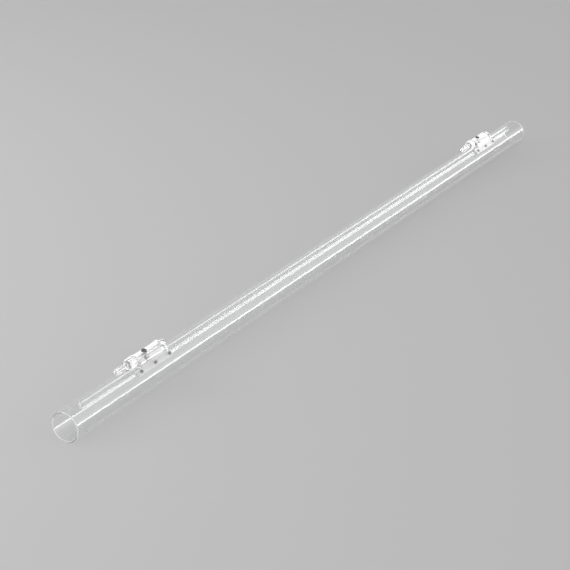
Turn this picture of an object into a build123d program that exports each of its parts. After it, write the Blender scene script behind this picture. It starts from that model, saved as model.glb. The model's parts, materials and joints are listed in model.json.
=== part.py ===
from build123d import *
import math
import os

# A long laboratory condenser in clear glass, lying on its side.
# Frame: origin on the resting surface, midway along the outer tube.
# +X runs along the tube, +Z is up, and the outer tube touches Z = 0. Millimetres.

# ---- outer tube -----------------------------------------------------------------------
TUBE_OD = 32.0
TUBE_WALL = 1.6
TUBE_LENGTH = 1030.0
TUBE_HOLE_R = 3.8          # clearance hole for each stem seal
SOCKET_R = 14.6            # calibrated bore at each end, for a stopper or adapter
SOCKET_DEPTH = 22.0
RIM_ROUND = 0.5            # fire-polished rims
TUBE_R = TUBE_OD / 2
BORE_R = TUBE_R - TUBE_WALL
AXIS_Z = TUBE_R            # the tube rests on the ground plane

# ---- inner tube and its stems ---------------------------------------------------------
INNER_R = 3.2
INNER_WALL = 0.9
INNER_LENGTH = 982.0
INNER_GAP = 0.3            # air between the inner tube and the bore above it
INNER_Z = AXIS_Z + BORE_R - INNER_GAP - INNER_R
STEM_R = 2.8
STEM_BORE_R = 1.9
STEM_TOP = 35.9
STEM_WELD_GAP = 0.01       # parting face between each stem and the inner tube

# ---- saddle: pad, base, gasket and cover flange, one on top of the other ----------------
STATION_X = 388.0          # each connector stands this far from the middle
SADDLE_CENTRE = 1.1        # middle of the saddle, from the stem axis
SADDLE_LENGTH = 56.8
SADDLE_ANGLE = 46.0        # half of the arc that the saddle covers, degrees
NOTCH_WIDTH = 15.6         # gap in the saddle that leaves room for the hose nut
NOTCH_LENGTH = 40.0
PAD_T = 0.4                # bonding pad on the glass
BASE_T = 1.6
GASKET_T = 0.4
FLANGE_T = 1.6
PAD_INSET = 1.0            # the pad stops short of the base's edges, in mm and in degrees
GASKET_INSET = 0.5
PAD_R = TUBE_R + PAD_T
BASE_R = PAD_R + BASE_T
GASKET_R = BASE_R + GASKET_T
FLANGE_R = GASKET_R + FLANGE_T

# ---- cover screws -----------------------------------------------------------------------
SCREW_CENTRE = 2.7         # the middle pair, from the stem axis
SCREW_PITCH = 23.6         # between neighbouring screws, along the tube
SCREW_ANGLE = 37.0         # screw rows, in degrees either side of the top line
SCREW_HEAD_R = 1.75
SCREW_HEAD_T = 1.2
SCREW_HEAD_ROUND = 0.35
SCREW_SLOT_WIDTH = 0.5
SCREW_SLOT_DEPTH = 0.6
SCREW_SHANK_R = 0.8
SCREW_TAP_R = 0.85         # hole in the base
SCREW_PASS_R = 1.2         # clearance hole in the gasket and the cover
SCREW_DEPTH_IN_BASE = 1.28
SCREW_HOLE_FLOOR = 0.3     # base left under each hole
SCREW_LIFT = 0.04          # gap under each head

# ---- cover: pod, boss and passages --------------------------------------------------------
POD_R = 9.0                # round back of the connector cover
POD_Z = 34.0
POD_X0 = -17.6
POD_X1 = SADDLE_CENTRE + SADDLE_LENGTH / 2
POD_END_FILLET = 3.2
POD_UNDERCUT = 0.5         # the pod's hollow underside starts this far past its near face
COLLAR_R = 10.0            # raised bands round the two ends of the pod
COLLAR_WIDTH = 3.2
COLLAR_ROUND = 0.9
COLLAR_INSET = POD_END_FILLET + 0.3
PORT_Z = 38.6              # axis of the coolant passage and of the hose barb
PASSAGE_R = 2.0
SEAL_SEAT_Z = 36.1         # roof of the stem O-ring seat in the cover
BOSS_R = 4.9
BOSS_END = -24.6
BOSS_ROOT_X = POD_X0 + 2.0
THREAD_PITCH = 1.5
THREAD_DEPTH = 0.35
THREAD_LEAD_IN = 0.3
THREAD_FLANK = 0.4
THREAD_CREST = 0.3
THREAD_RUN_OUT = 0.8
BARB_SEAL_R = 3.8          # counterbore in the boss end, for the barb's O-ring
BARB_SEAL_DEPTH = 1.0
THREAD_PLAY = 0.08         # radial play in the tapped holes
PLUG_BORE_DEPTH = 6.0
PLUG_SEAL_R = 3.8
PLUG_SEAL_DEPTH = 0.9

# ---- seals --------------------------------------------------------------------------------
FIT_GAP = 0.05
BUSH_CHAMFER = 0.4
STEM_SEAL_Z = 35.1
STEM_SEAL_R = 2.82         # inside radius
STEM_SEAL_SECTION = 0.94
BARB_O_RING_X = BOSS_END + 0.3
BARB_O_RING_R = 2.3
BARB_O_RING_SECTION = 1.35
VALVE_O_RING_SECTION = 0.74
PLUG_O_RING_SECTION = 0.74

# ---- hose nut -----------------------------------------------------------------------------
NUT_BODY_R = 5.7
NUT_START = -18.4
NUT_WALL_IN = -27.5
NUT_END = -29.5
NUT_RIBS = 16
RIB_R = 0.8
RIB_SINK = 0.35            # how far a rib's axis lies under the nut's surface
RIB_X0 = NUT_END + 1.2
RIB_LENGTH = 9.5
NUT_THREAD_GAP = 0.1
NUT_NECK_R = 3.5           # hole that the barb's neck passes through
WASHER_R = 4.3
WASHER_T = 0.6

# ---- hose barb ----------------------------------------------------------------------------
BARB_TIP = -47.0
BARB_SHANK_R = 2.6
BARB_RIDGE_R = 3.3
BARB_BORE_R = 1.7
BARB_RIDGES = 3
BARB_RIDGE_PITCH = 4.2
BARB_RIDGE_RISE = 0.2
BARB_RIDGE_LAND = 0.9
BARB_RIDGE_STEP = 0.4
BARB_TIP_CHAMFER = 0.3
BARB_NECK_R = 3.1
BARB_NECK_END = -30.3
BARB_NECK_TAPER = 0.7
BARB_FLANGE_R = 4.1
BARB_FLANGE_X0 = -26.7
BARB_FLANGE_X1 = -25.0
BARB_SPIGOT_R = 1.9
BARB_SPIGOT_X = -20.5

# ---- valve screw: closes the way up from the stem ---------------------------------------------
VALVE_SPOT_Z = 41.8        # flat face under the screw's head
VALVE_SPOT_R = 3.4
VALVE_SEAT_Z = VALVE_SPOT_Z + 0.8
VALVE_HEAD_R = 2.9
VALVE_HEAD_T = 1.6
VALVE_HEAD_ROUND = 0.5
VALVE_THREAD_R = 2.3
VALVE_THREAD_END = 40.9
VALVE_NECK_R = 1.9         # plain end that plugs the upright passage
VALVE_TIP_Z = 36.8
VALVE_TIP_TAPER = 0.7
VALVE_SLOT_WIDTH = 1.0
VALVE_SLOT_DEPTH = 0.9

# ---- end plug -------------------------------------------------------------------------------
PLUG_HEAD_R = 4.3
PLUG_HEAD_T = 2.0
PLUG_HEAD_ROUND = 0.5
PLUG_THREAD_R = 3.0
PLUG_THREAD_LENGTH = 5.5
PLUG_HEX_R = 1.75          # hexagon socket, across corners / 2
PLUG_HEX_DEPTH = 2.4

THROUGH = 50.0             # a cutting length that passes right through any piece
STATIONS = {"inlet": -STATION_X, "outlet": STATION_X}
STANDING = (Align.CENTER, Align.CENTER, Align.MIN)


# ---- small helpers --------------------------------------------------------------------
def along_x(x, z, radius, length):
    """A cylinder along X from x to x + length, its axis at height z."""
    plane = Plane(origin=(x, 0, z), x_dir=(0, 1, 0), z_dir=(1, 0, 0))
    return plane * Cylinder(radius, length, align=STANDING)


def upright(x, z, radius, height):
    """A vertical cylinder standing on height z."""
    return Pos(x, 0, z) * Cylinder(radius, height, align=STANDING)


def turned_along_x(points, z):
    """Revolve an (x, radius) outline about the X-direction axis at height z."""
    outline = make_face(Polyline(*[(x, 0, z + radius) for x, radius in points], close=True))
    return revolve(outline, Axis((0, 0, z), (1, 0, 0)), 360)


def turned_upright(points):
    """Revolve a (radius, z) outline about the vertical axis."""
    outline = make_face(Polyline(*[(radius, 0, z) for radius, z in points], close=True))
    return revolve(outline, Axis.Z, 360)


def o_ring_along_x(x, z, inner_r, section):
    """An O-ring whose axis runs along X, centred at x."""
    plane = Plane(origin=(x, 0, z), x_dir=(0, 1, 0), z_dir=(1, 0, 0))
    return plane * Torus(inner_r + section / 2, section / 2)


def o_ring_upright(z, inner_r, section):
    """An O-ring lying flat, centred at height z."""
    return Pos(0, 0, z) * Torus(inner_r + section / 2, section / 2)


def saddle_sheet(inner_r, outer_r, inset):
    """A curved sheet that lies on top of the outer tube, notched for the hose nut."""
    length = SADDLE_LENGTH - 2 * inset
    x0 = SADDLE_CENTRE - length / 2
    ring = along_x(x0, AXIS_Z, outer_r, length) - along_x(x0, AXIS_Z, inner_r, length)
    reach = 2 * outer_r
    side = reach * math.tan(math.radians(SADDLE_ANGLE - 2 * inset))
    wedge_face = make_face(Polyline((x0, 0, AXIS_Z), (x0, side, AXIS_Z + reach),
                                    (x0, -side, AXIS_Z + reach), close=True))
    wedge = extrude(wedge_face, length, dir=(1, 0, 0))
    notch = Pos(POD_X0 - FIT_GAP, 0, AXIS_Z + TUBE_R) * Box(
        NOTCH_LENGTH, NOTCH_WIDTH, TUBE_R, align=(Align.MAX, Align.CENTER, Align.CENTER))
    return (ring & wedge) - notch


def screw_places():
    """Where the six cover screws stand: x and the angle from the top line."""
    return [(SCREW_CENTRE + step * SCREW_PITCH, side * SCREW_ANGLE)
            for step in (-1, 0, 1) for side in (-1, 1)]


def radial(x, angle, radius, part):
    """Stand a part on the tube's surface at the given radius, pointing away from the axis."""
    return Pos(x, 0, AXIS_Z) * Rot(angle, 0, 0) * Pos(0, 0, radius) * part


def drill_for_screws(piece, radius):
    """Cut the six radial screw holes."""
    drill = Cylinder(radius, POD_R, align=STANDING)
    for x, angle in screw_places():
        piece -= radial(x, angle, PAD_R + SCREW_HOLE_FLOOR, drill)
    return piece


# ---- glass ----------------------------------------------------------------------------
def make_outer_tube():
    x0 = -TUBE_LENGTH / 2
    tube = along_x(x0, AXIS_Z, TUBE_R, TUBE_LENGTH) - along_x(x0, AXIS_Z, BORE_R, TUBE_LENGTH)
    tube -= along_x(x0, AXIS_Z, SOCKET_R, SOCKET_DEPTH)
    tube -= along_x(-x0 - SOCKET_DEPTH, AXIS_Z, SOCKET_R, SOCKET_DEPTH)
    rims = tube.edges().filter_by(GeomType.CIRCLE).group_by(Axis.X)
    tube = fillet(list(rims[0]) + list(rims[-1]), RIM_ROUND)
    for x in STATIONS.values():
        tube -= upright(x, AXIS_Z, TUBE_HOLE_R, THROUGH)
    return tube


def make_inner_tube():
    """A thin tube with closed round ends, open only where the two stems join it."""
    bore_r = INNER_R - INNER_WALL
    straight = INNER_LENGTH - 2 * INNER_R
    x0 = -straight / 2
    body = along_x(x0, INNER_Z, INNER_R, straight)
    hollow = along_x(x0, INNER_Z, bore_r, straight)
    for x in (x0, -x0):
        body += Pos(x, 0, INNER_Z) * Sphere(INNER_R)
        hollow += Pos(x, 0, INNER_Z) * Sphere(bore_r)
    for x in STATIONS.values():
        hollow += upright(x, INNER_Z, STEM_BORE_R, STEM_TOP - INNER_Z)
    return body - hollow


# ---- connector pieces, drawn with the stem axis at x = 0 --------------------------------
def make_stem():
    """Upright glass stem, saddled onto the top of the inner tube."""
    stem = upright(0, INNER_Z, STEM_R, STEM_TOP - INNER_Z)
    stem -= upright(0, INNER_Z, STEM_BORE_R, STEM_TOP - INNER_Z)
    return stem - along_x(-THROUGH / 2, INNER_Z, INNER_R + STEM_WELD_GAP, THROUGH)


def make_bond_pad():
    return saddle_sheet(TUBE_R, PAD_R, PAD_INSET) - upright(0, AXIS_Z, TUBE_HOLE_R, THROUGH)


def make_base():
    base = saddle_sheet(PAD_R, BASE_R, 0) - upright(0, AXIS_Z, TUBE_HOLE_R, THROUGH)
    return drill_for_screws(base, SCREW_TAP_R)


def make_cover_gasket():
    gasket = saddle_sheet(BASE_R, GASKET_R, GASKET_INSET)
    gasket -= upright(0, AXIS_Z, TUBE_HOLE_R, THROUGH)
    return drill_for_screws(gasket, SCREW_PASS_R)


def make_boss():
    """The stub that the hose nut screws onto, with its thread as rounded rings."""
    root = BOSS_R - THREAD_DEPTH
    points = [(BOSS_ROOT_X, 0), (BOSS_END, 0), (BOSS_END, root)]
    for turn in range(int((POD_X0 - THREAD_RUN_OUT - BOSS_END) / THREAD_PITCH)):
        start = BOSS_END + THREAD_LEAD_IN + turn * THREAD_PITCH
        crest = start + THREAD_FLANK
        points += [(start, root), (crest, BOSS_R), (crest + THREAD_CREST, BOSS_R)]
        points += [(crest + THREAD_CREST + THREAD_FLANK, root)]
    points += [(BOSS_ROOT_X, root)]
    return turned_along_x(points, PORT_Z)


def make_collar(x0):
    collar = along_x(x0, POD_Z, COLLAR_R, COLLAR_WIDTH)
    return fillet(collar.edges().filter_by(GeomType.CIRCLE), COLLAR_ROUND)


def make_cover():
    """Curved flange, round-backed pod, threaded boss, and the drilled passages."""
    pod = along_x(POD_X0, POD_Z, POD_R, POD_X1 - POD_X0)
    pod = fillet(pod.edges().filter_by(GeomType.CIRCLE).sort_by(Axis.X)[-1], POD_END_FILLET)
    cover = pod + make_boss()
    for x0 in (POD_X0, POD_X1 - COLLAR_INSET - COLLAR_WIDTH):
        cover += make_collar(x0)
    cover -= along_x(POD_X0 - POD_UNDERCUT, AXIS_Z, GASKET_R, 2 * THROUGH)
    cover += saddle_sheet(GASKET_R, FLANGE_R, 0)
    cover -= upright(0, AXIS_Z, TUBE_HOLE_R, SEAL_SEAT_Z - AXIS_Z)
    cover -= upright(0, AXIS_Z, PASSAGE_R, PORT_Z - AXIS_Z)
    cover -= along_x(BOSS_END, PORT_Z, PASSAGE_R, 2 * THROUGH)
    cover -= along_x(BOSS_END, PORT_Z, BARB_SEAL_R, BARB_SEAL_DEPTH)
    cover -= upright(0, VALVE_SPOT_Z, VALVE_SPOT_R, THROUGH)
    cover -= upright(0, PORT_Z, VALVE_THREAD_R + THREAD_PLAY, THROUGH)
    cover -= along_x(POD_X1 - PLUG_BORE_DEPTH, PORT_Z, PLUG_THREAD_R + THREAD_PLAY, THROUGH)
    cover -= along_x(POD_X1 - PLUG_SEAL_DEPTH, PORT_Z, PLUG_SEAL_R, THROUGH)
    return drill_for_screws(cover, SCREW_PASS_R)


def make_screws():
    """Six small cheese-head screws with a straight slot."""
    head = Cylinder(SCREW_HEAD_R, SCREW_HEAD_T, align=STANDING)
    head = fillet(head.edges().filter_by(GeomType.CIRCLE).sort_by(Axis.Z)[-1], SCREW_HEAD_ROUND)
    head -= Pos(0, 0, SCREW_HEAD_T - SCREW_SLOT_DEPTH) * Box(
        3 * SCREW_HEAD_R, SCREW_SLOT_WIDTH, SCREW_HEAD_T, align=STANDING)
    shank_length = FLANGE_R - BASE_R + SCREW_DEPTH_IN_BASE
    shank = Pos(0, 0, -shank_length) * Cylinder(SCREW_SHANK_R, shank_length, align=STANDING)
    screw = head + shank
    return [radial(x, angle, FLANGE_R + SCREW_LIFT, screw) for x, angle in screw_places()]


def make_stem_bush():
    """Soft sleeve between the glass stem and the hole in the outer tube."""
    outer_r = TUBE_HOLE_R - FIT_GAP
    inner_r = STEM_R + FIT_GAP
    bottom = AXIS_Z + BORE_R - INNER_GAP / 2
    top = AXIS_Z + GASKET_R - 2 * FIT_GAP
    points = [(inner_r, bottom), (outer_r - BUSH_CHAMFER, bottom),
              (outer_r, bottom + BUSH_CHAMFER), (outer_r, top), (inner_r, top)]
    return turned_upright(points)


def make_stem_o_ring():
    return o_ring_upright(STEM_SEAL_Z, STEM_SEAL_R, STEM_SEAL_SECTION)


def make_hose_barb():
    """Hose barb with a seating flange and a spigot that enters the passage."""
    points = [(BARB_SPIGOT_X, BARB_BORE_R), (BARB_SPIGOT_X, BARB_SPIGOT_R),
              (BARB_FLANGE_X1, BARB_SPIGOT_R), (BARB_FLANGE_X1, BARB_FLANGE_R),
              (BARB_FLANGE_X0, BARB_FLANGE_R), (BARB_FLANGE_X0, BARB_NECK_R),
              (BARB_NECK_END, BARB_NECK_R), (BARB_NECK_END - BARB_NECK_TAPER, BARB_SHANK_R)]
    for ridge in range(BARB_RIDGES, 0, -1):
        x = BARB_TIP + ridge * BARB_RIDGE_PITCH
        crest = x - BARB_RIDGE_RISE
        points += [(x, BARB_SHANK_R), (crest, BARB_RIDGE_R)]
        points += [(crest - BARB_RIDGE_LAND, BARB_RIDGE_R)]
        points += [(x - BARB_RIDGE_PITCH + BARB_RIDGE_STEP, BARB_SHANK_R)]
    points += [(BARB_TIP, BARB_SHANK_R - BARB_TIP_CHAMFER), (BARB_TIP, BARB_BORE_R)]
    return turned_along_x(points, PORT_Z)


def make_barb_o_ring():
    return o_ring_along_x(BARB_O_RING_X, PORT_Z, BARB_O_RING_R, BARB_O_RING_SECTION)


def make_thrust_washer():
    x0 = NUT_WALL_IN + FIT_GAP
    disc = along_x(x0, PORT_Z, WASHER_R, WASHER_T)
    return disc - along_x(x0, PORT_Z, NUT_NECK_R, WASHER_T)


def make_nut():
    """Ribbed hose nut, open towards the connector and stepped at its far end."""
    length = NUT_START - NUT_END
    nut = along_x(NUT_END, PORT_Z, NUT_BODY_R, length)
    rib = along_x(RIB_X0, NUT_BODY_R - RIB_SINK, RIB_R, RIB_LENGTH)
    for step in range(NUT_RIBS):
        nut += Pos(0, 0, PORT_Z) * Rot(360 / NUT_RIBS * step, 0, 0) * rib
    nut -= along_x(NUT_WALL_IN, PORT_Z, BOSS_R + NUT_THREAD_GAP, length)
    nut -= along_x(NUT_END, PORT_Z, NUT_NECK_R, length)
    return nut


def make_valve_screw():
    """Slotted screw whose plain end shuts the way up from the stem when it is screwed down."""
    top = VALVE_SEAT_Z + VALVE_HEAD_T
    points = [(0, VALVE_TIP_Z), (VALVE_NECK_R - VALVE_TIP_TAPER, VALVE_TIP_Z),
              (VALVE_NECK_R, VALVE_TIP_Z + VALVE_TIP_TAPER), (VALVE_NECK_R, VALVE_THREAD_END),
              (VALVE_THREAD_R, VALVE_THREAD_END), (VALVE_THREAD_R, VALVE_SEAT_Z),
              (VALVE_HEAD_R, VALVE_SEAT_Z), (VALVE_HEAD_R, top - VALVE_HEAD_ROUND),
              (VALVE_HEAD_R - VALVE_HEAD_ROUND, top), (0, top)]
    slot = Pos(0, 0, top - VALVE_SLOT_DEPTH) * Box(
        3 * VALVE_HEAD_R, VALVE_SLOT_WIDTH, VALVE_HEAD_T, align=STANDING)
    return turned_upright(points) - slot


def make_valve_o_ring():
    middle = (VALVE_SPOT_Z + VALVE_SEAT_Z) / 2
    return o_ring_upright(middle, VALVE_THREAD_R + THREAD_PLAY, VALVE_O_RING_SECTION)


def make_end_plug():
    """Blanking plug in the open end of the drilled passage, with a hexagon socket."""
    inner_end = POD_X1 - PLUG_THREAD_LENGTH
    seat = POD_X1 + FIT_GAP
    end = seat + PLUG_HEAD_T
    round_x = end - PLUG_HEAD_ROUND
    points = [(inner_end, 0), (inner_end, PLUG_THREAD_R - PLUG_HEAD_ROUND),
              (inner_end + PLUG_HEAD_ROUND, PLUG_THREAD_R), (seat, PLUG_THREAD_R),
              (seat, PLUG_HEAD_R), (round_x, PLUG_HEAD_R),
              (end, PLUG_HEAD_R - PLUG_HEAD_ROUND), (end, 0)]
    socket_plane = Plane(origin=(end - PLUG_HEX_DEPTH, 0, PORT_Z), x_dir=(0, 1, 0),
                         z_dir=(1, 0, 0))
    socket = extrude(socket_plane * RegularPolygon(PLUG_HEX_R, 6), 2 * PLUG_HEX_DEPTH)
    return turned_along_x(points, PORT_Z) - socket


def make_end_plug_o_ring():
    middle = POD_X1 - PLUG_SEAL_DEPTH / 2
    return o_ring_along_x(middle, PORT_Z, PLUG_THREAD_R + FIT_GAP / 2, PLUG_O_RING_SECTION)


CONNECTOR_PIECES = {
    "stem": make_stem,
    "bond_pad": make_bond_pad,
    "saddle_base": make_base,
    "cover_gasket": make_cover_gasket,
    "cover": make_cover,
    "cover_screws": make_screws,
    "stem_bush": make_stem_bush,
    "stem_o_ring": make_stem_o_ring,
    "hose_barb": make_hose_barb,
    "barb_o_ring": make_barb_o_ring,
    "thrust_washer": make_thrust_washer,
    "hose_nut": make_nut,
    "valve_screw": make_valve_screw,
    "valve_o_ring": make_valve_o_ring,
    "end_plug": make_end_plug,
    "end_plug_o_ring": make_end_plug_o_ring,
}


# ---- write one file per piece ------------------------------------------------------------
def write(name, shape):
    export_step(shape, "parts/" + name + ".step")


os.makedirs("parts", exist_ok=True)
write("outer_tube", make_outer_tube())
write("inner_tube", make_inner_tube())
for piece, make in CONNECTOR_PIECES.items():
    made = make()
    for station, x in STATIONS.items():
        if isinstance(made, list):
            shape = Compound(children=[Pos(x, 0, 0) * solid for solid in made])
        else:
            shape = Pos(x, 0, 0) * made
        write(station + "_" + piece, shape)
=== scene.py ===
import bpy
import json
import math
from mathutils import Matrix, Vector


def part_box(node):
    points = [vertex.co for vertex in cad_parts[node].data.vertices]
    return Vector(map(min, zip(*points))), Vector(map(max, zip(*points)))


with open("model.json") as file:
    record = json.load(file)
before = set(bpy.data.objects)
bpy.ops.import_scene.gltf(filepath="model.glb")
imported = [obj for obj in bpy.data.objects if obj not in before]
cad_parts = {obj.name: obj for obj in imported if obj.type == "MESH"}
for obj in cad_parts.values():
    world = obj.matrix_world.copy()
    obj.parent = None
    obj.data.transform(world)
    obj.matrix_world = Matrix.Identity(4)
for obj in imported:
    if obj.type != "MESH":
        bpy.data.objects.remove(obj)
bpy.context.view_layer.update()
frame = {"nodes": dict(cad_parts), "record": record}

# ---- driving values, in metres ----------------------------------------------------------
TUBE_LOW, TUBE_HIGH = (Vector(corner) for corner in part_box("outer_tube"))
TUBE_R = (TUBE_HIGH.z - TUBE_LOW.z) / 2
AXIS_Z = (TUBE_HIGH.z + TUBE_LOW.z) / 2
HALF_LENGTH = TUBE_HIGH.x

VIEW_TURN = math.radians(58.36)       # how far the view swings round from looking along +Y
VIEW_DROP = math.radians(24.1)        # how far it looks down
VIEW_TARGET = Vector((-7.93 * TUBE_R, -0.26 * TUBE_R, AXIS_Z))
VIEW_DISTANCE = 110 * TUBE_R
LENS_MM = 97.9
SENSOR_MM = 36
CLIP_END = 100

FLOOR_GREY = 0.64
FLOOR_ROUGHNESS = 0.6
FLOOR_REACH = 30
WORLD_GREY = 0.57
SIDE_DIRECTION = (0.616, -0.788, 0.0)  # the glow lies low on this side
SIDE_EDGE = 0.80
GLOW_TOP, GLOW_LOW, GLOW_FILL = 0.66, 0.28, 1.3
STRIP_TOP, STRIP_LOW, GLOW_STRIP = 0.15, 0.10, 5.5
KEY_DIRECTION = (-0.60, 0.72, 0.38)
KEY_DISTANCE, KEY_SIZE, KEY_RADIANCE = 2.4, 1.2, 5.6

LAMP_PASS = 0.96                      # share of a lamp's light that clear material lets by
BUMP_STRENGTH = 0.3
RIM_WIDTH = 0.0009                    # width of the tube's ends that get a painted bright rim
# strength of the painted glow on the tube's ends
RIM_PAINTED_GLOW = 0.10


# ---- node helpers -----------------------------------------------------------------------
def new_material(name):
    material = bpy.data.materials.new(name)
    material.use_nodes = True
    tree = material.node_tree
    tree.nodes.clear()
    return material, tree


def node(tree, kind, **settings):
    made = tree.nodes.new(kind)
    for name, value in settings.items():
        setattr(made, name, value)
    return made


def principled(tree, **sockets):
    shader = node(tree, "ShaderNodeBsdfPrincipled")
    for name, value in sockets.items():
        shader.inputs[name.replace("_", " ")].default_value = value
    return shader


def object_coordinates(tree, scale):
    place = node(tree, "ShaderNodeTexCoord")
    stretch = node(tree, "ShaderNodeMapping")
    stretch.inputs["Scale"].default_value = scale
    tree.links.new(place.outputs["Object"], stretch.inputs["Vector"])
    return stretch.outputs["Vector"]


def noise(tree, scale, detail=2.0, stretch=(1, 1, 1)):
    texture = node(tree, "ShaderNodeTexNoise")
    texture.inputs["Scale"].default_value = scale
    texture.inputs["Detail"].default_value = detail
    tree.links.new(object_coordinates(tree, stretch), texture.inputs["Vector"])
    return texture.outputs["Fac"]


def bump(tree, height, strength, distance):
    made = node(tree, "ShaderNodeBump")
    made.inputs["Strength"].default_value = strength
    made.inputs["Distance"].default_value = distance
    tree.links.new(height, made.inputs["Height"])
    return made.outputs["Normal"]


def ramp(tree, factor, low, high, out_low, out_high):
    scaled = node(tree, "ShaderNodeMapRange")
    scaled.inputs["From Min"].default_value = low
    scaled.inputs["From Max"].default_value = high
    scaled.inputs["To Min"].default_value = out_low
    scaled.inputs["To Max"].default_value = out_high
    tree.links.new(factor, scaled.inputs["Value"])
    return scaled.outputs["Result"]


def clear_for_lamps(tree, shader, let_through):
    """Lamps shine through clear material, so its shadow stays faint."""
    see_through = node(tree, "ShaderNodeBsdfTransparent")
    see_through.inputs["Color"].default_value = (let_through, let_through, let_through, 1)
    path = node(tree, "ShaderNodeLightPath")
    either = node(tree, "ShaderNodeMath", operation="MAXIMUM")
    tree.links.new(path.outputs["Is Shadow Ray"], either.inputs[0])
    tree.links.new(path.outputs["Is Diffuse Ray"], either.inputs[1])
    mix = node(tree, "ShaderNodeMixShader")
    tree.links.new(either.outputs["Value"], mix.inputs["Fac"])
    tree.links.new(shader, mix.inputs[1])
    tree.links.new(see_through.outputs["BSDF"], mix.inputs[2])
    return mix.outputs["Shader"]


def finish_material(tree, shader):
    output = node(tree, "ShaderNodeOutputMaterial")
    tree.links.new(shader, output.inputs["Surface"])


# ---- materials --------------------------------------------------------------------------
def at_rims(tree):
    """1 on the ends of the outer tube, where the painted rim glow goes, 0 along it."""
    place = node(tree, "ShaderNodeTexCoord")
    parts = node(tree, "ShaderNodeSeparateXYZ")
    tree.links.new(place.outputs["Object"], parts.inputs["Vector"])
    distance = node(tree, "ShaderNodeMath", operation="ABSOLUTE")
    tree.links.new(parts.outputs["X"], distance.inputs[0])
    beyond = node(tree, "ShaderNodeMath", operation="GREATER_THAN")
    tree.links.new(distance.outputs["Value"], beyond.inputs[0])
    beyond.inputs[1].default_value = HALF_LENGTH - RIM_WIDTH
    return beyond.outputs["Value"]


def make_clear(name, tint, clearness, ior, gloss, gloss_roughness, wave_scale, wave_stretch,
               wave_depth, rims=False, painted_glow_start=0.7, painted_edge_glow=0.0):
    """Clear material: a coat gives its outer gloss, and its body bends light only a little."""
    material, tree = new_material(name)
    body = dict(Base_Color=(*tint, 1), Roughness=0.0, IOR=ior, Transmission_Weight=clearness)
    outside = principled(tree, Coat_Weight=1.0, Coat_IOR=gloss, Coat_Roughness=gloss_roughness,
                         **body)
    inside = principled(tree, **body)
    waves = noise(tree, wave_scale, 2.0, wave_stretch)
    tree.links.new(bump(tree, waves, BUMP_STRENGTH, wave_depth), outside.inputs["Coat Normal"])
    # Painted highlight: a white glow on the outer side, rising towards the silhouette edges,
    # stands in for light caught at the edges.
    if painted_edge_glow:
        outside.inputs["Emission Color"].default_value = (1, 1, 1, 1)
        edge = node(tree, "ShaderNodeLayerWeight").outputs["Facing"]
        tree.links.new(ramp(tree, edge, painted_glow_start, 1.0, 0.0, painted_edge_glow),
                       outside.inputs["Emission Strength"])
    facing = node(tree, "ShaderNodeNewGeometry").outputs["Backfacing"]
    mix = node(tree, "ShaderNodeMixShader")
    tree.links.new(facing, mix.inputs["Fac"])
    tree.links.new(outside.outputs["BSDF"], mix.inputs[1])
    tree.links.new(inside.outputs["BSDF"], mix.inputs[2])
    surface = mix.outputs["Shader"]
    # Painted highlight: the tube's ends get a whitened, partly cloudy surface and a faint
    # white glow, so the rims read bright instead of dark.
    if rims:
        painted_rim = principled(tree, Base_Color=(0.95, 0.95, 0.95, 1), Roughness=0.3,
                              IOR=1.2, Transmission_Weight=0.75, Coat_Weight=0.5,
                              Emission_Color=(1, 1, 1, 1), Emission_Strength=RIM_PAINTED_GLOW)
        ends = node(tree, "ShaderNodeMixShader")
        tree.links.new(at_rims(tree), ends.inputs["Fac"])
        tree.links.new(surface, ends.inputs[1])
        tree.links.new(painted_rim.outputs["BSDF"], ends.inputs[2])
        surface = ends.outputs["Shader"]
    finish_material(tree, clear_for_lamps(tree, surface, LAMP_PASS))
    return material


def make_solid(name, colour, roughness, metallic, grain_scale, grain_depth):
    """An opaque material with fine grain and a slightly uneven colour and gloss."""
    material, tree = new_material(name)
    shader = principled(tree, Metallic=metallic)
    mottle = noise(tree, grain_scale, 3.0)
    tint = node(tree, "ShaderNodeMix", data_type="RGBA")
    tint.inputs["A"].default_value = (*[c * 0.85 for c in colour], 1)
    tint.inputs["B"].default_value = (*[min(c * 1.12, 1) for c in colour], 1)
    tree.links.new(mottle, tint.inputs["Factor"])
    tree.links.new(tint.outputs["Result"], shader.inputs["Base Color"])
    tree.links.new(ramp(tree, mottle, 0.3, 0.7, roughness * 0.85, roughness * 1.2),
                   shader.inputs["Roughness"])
    tree.links.new(bump(tree, mottle, BUMP_STRENGTH, grain_depth), shader.inputs["Normal"])
    finish_material(tree, shader.outputs["BSDF"])
    return material


CLEAR_SLOTS = ("glass", "clear_polycarbonate", "clear_silicone")
# Glass and clear polycarbonate carry a painted edge glow; silicone has none.
MATERIALS = {
    "glass": make_clear(
        "drawn_glass", (0.985, 0.99, 0.99), clearness=1.0, ior=1.06, gloss=1.75,
        gloss_roughness=0.01, wave_scale=120.0, wave_stretch=(0.02, 1, 1), wave_depth=0.00002,
        rims=True, painted_glow_start=0.75, painted_edge_glow=0.35),
    "clear_polycarbonate": make_clear(
        "clear_polycarbonate", (0.98, 0.98, 0.985), clearness=0.9, ior=1.3, gloss=1.9,
        gloss_roughness=0.03, wave_scale=140.0, wave_stretch=(0.5, 1, 1), wave_depth=0.0001,
        painted_glow_start=0.4, painted_edge_glow=1.4),
    "clear_silicone": make_clear(
        "clear_silicone", (0.94, 0.94, 0.945), clearness=0.35, ior=1.2, gloss=1.5,
        gloss_roughness=0.25, wave_scale=1500.0, wave_stretch=(1, 1, 1), wave_depth=0.00005),
    "dark_seal": make_solid("dark_seal", (0.035, 0.035, 0.037), 0.45, 0.0, 1500.0, 0.00003),
    "dark_screw": make_solid("dark_screw", (0.20, 0.20, 0.205), 0.12, 0.5, 700.0, 0.00002),
    "steel": make_solid("screw_steel", (0.34, 0.34, 0.35), 0.28, 1.0, 2500.0, 0.00001),
}
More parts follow.
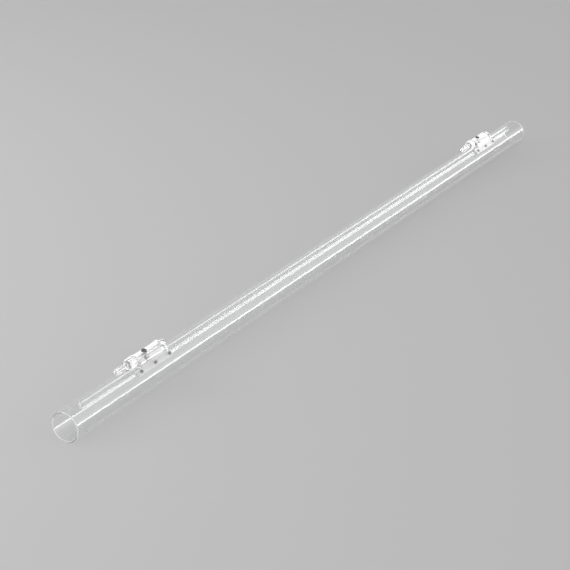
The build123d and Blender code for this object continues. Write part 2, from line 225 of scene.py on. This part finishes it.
# Painted highlight: the inner tube and stems get the strongest painted glow at their edges.
INNER_GLASS = make_clear(
    "thin_glass", (0.985, 0.99, 0.99), clearness=1.0, ior=1.04, gloss=1.5,
    gloss_roughness=0.05, wave_scale=60.0, wave_stretch=(0.02, 1, 1), wave_depth=0.000002,
    painted_glow_start=0.6, painted_edge_glow=2.4)


def dress_cad_nodes():
    slots = {row["node"]: row["material_slot"] for row in frame["record"]["subparts"]}
    for name, cad_object in frame["nodes"].items():
        material = MATERIALS[slots[name]]
        if name == "inner_tube" or name.endswith("_stem"):
            material = INNER_GLASS
        if not cad_object.material_slots:
            cad_object.data.materials.append(material)
        for place in cad_object.material_slots:
            place.material = material
        if slots[name] in CLEAR_SLOTS and name != "outer_tube":
            cad_object.visible_shadow = False
            cad_object.visible_diffuse = False


# ---- studio -----------------------------------------------------------------------------
def view_axes():
    forward = Vector((math.sin(VIEW_TURN) * math.cos(VIEW_DROP),
                      math.cos(VIEW_TURN) * math.cos(VIEW_DROP),
                      -math.sin(VIEW_DROP)))
    right = forward.cross(Vector((0, 0, 1))).normalized()
    return right, right.cross(forward), forward


def make_camera():
    right, up, forward = view_axes()
    camera = bpy.data.objects.new("camera", bpy.data.cameras.new("camera"))
    camera.data.lens = LENS_MM
    camera.data.sensor_width = SENSOR_MM
    camera.data.clip_end = CLIP_END
    turn = Matrix((right, up, -forward)).transposed().to_4x4()
    place = Matrix.Translation(VIEW_TARGET - forward * VIEW_DISTANCE)
    camera.matrix_world = place @ turn
    bpy.context.scene.collection.objects.link(camera)
    bpy.context.scene.camera = camera


def make_floor():
    mesh = bpy.data.meshes.new("floor")
    reach = FLOOR_REACH
    mesh.from_pydata([(-reach, -reach, 0), (reach, -reach, 0), (reach, reach, 0),
                      (-reach, reach, 0)], [], [(0, 1, 2, 3)])
    floor = bpy.data.objects.new("floor", mesh)
    bpy.context.scene.collection.objects.link(floor)
    material, tree = new_material("floor")
    shader = principled(tree, Base_Color=(FLOOR_GREY, FLOOR_GREY, FLOOR_GREY, 1),
                        Roughness=FLOOR_ROUGHNESS)
    finish_material(tree, shader.outputs["BSDF"])
    mesh.materials.append(material)


def make_world():
    """An even grey studio with a soft glow low on one side, brightest at the horizon."""
    world = bpy.data.worlds.new("studio")
    world.use_nodes = True
    tree = world.node_tree
    direction = node(tree, "ShaderNodeTexCoord").outputs["Generated"]
    parts = node(tree, "ShaderNodeSeparateXYZ")
    tree.links.new(direction, parts.inputs["Vector"])
    flatten = node(tree, "ShaderNodeVectorMath", operation="MULTIPLY")
    flatten.inputs[1].default_value = (1, 1, 0)
    tree.links.new(direction, flatten.inputs[0])
    heading = node(tree, "ShaderNodeVectorMath", operation="NORMALIZE")
    tree.links.new(flatten.outputs["Vector"], heading.inputs[0])
    toward_side = node(tree, "ShaderNodeVectorMath", operation="DOT_PRODUCT")
    toward_side.inputs[1].default_value = SIDE_DIRECTION
    tree.links.new(heading.outputs["Vector"], toward_side.inputs[0])
    side = ramp(tree, toward_side.outputs["Value"], SIDE_EDGE, 1.0, 0.0, 1.0)
    fill = ramp(tree, parts.outputs["Z"], GLOW_TOP, GLOW_LOW, 0.0, GLOW_FILL)
    strip = ramp(tree, parts.outputs["Z"], STRIP_TOP, STRIP_LOW, 0.0, GLOW_STRIP)
    both = node(tree, "ShaderNodeMath", operation="ADD")
    tree.links.new(fill, both.inputs[0])
    tree.links.new(strip, both.inputs[1])
    glow = node(tree, "ShaderNodeMath", operation="MULTIPLY_ADD")
    tree.links.new(both.outputs["Value"], glow.inputs[0])
    tree.links.new(side, glow.inputs[1])
    glow.inputs[2].default_value = WORLD_GREY
    tree.links.new(glow.outputs["Value"], tree.nodes["Background"].inputs["Strength"])
    tree.nodes["Background"].inputs["Color"].default_value = (1, 1, 1, 1)
    bpy.context.scene.world = world


def softbox(name, direction, distance, size, radiance):
    """A square light that faces the middle of the object, with even radiance."""
    lamp = bpy.data.lights.new(name, "AREA")
    lamp.shape = "SQUARE"
    lamp.size = size
    lamp.energy = radiance * math.pi * size * size
    holder = bpy.data.objects.new(name, lamp)
    toward = Vector(direction).normalized()
    holder.location = Vector((0, 0, AXIS_Z)) + toward * distance
    holder.rotation_euler = (-toward).to_track_quat("-Z", "Y").to_euler()
    bpy.context.scene.collection.objects.link(holder)


bpy.context.scene.view_settings.view_transform = "Standard"
make_camera()
make_world()
softbox("key", KEY_DIRECTION, KEY_DISTANCE, KEY_SIZE, KEY_RADIANCE)
make_floor()
dress_cad_nodes()
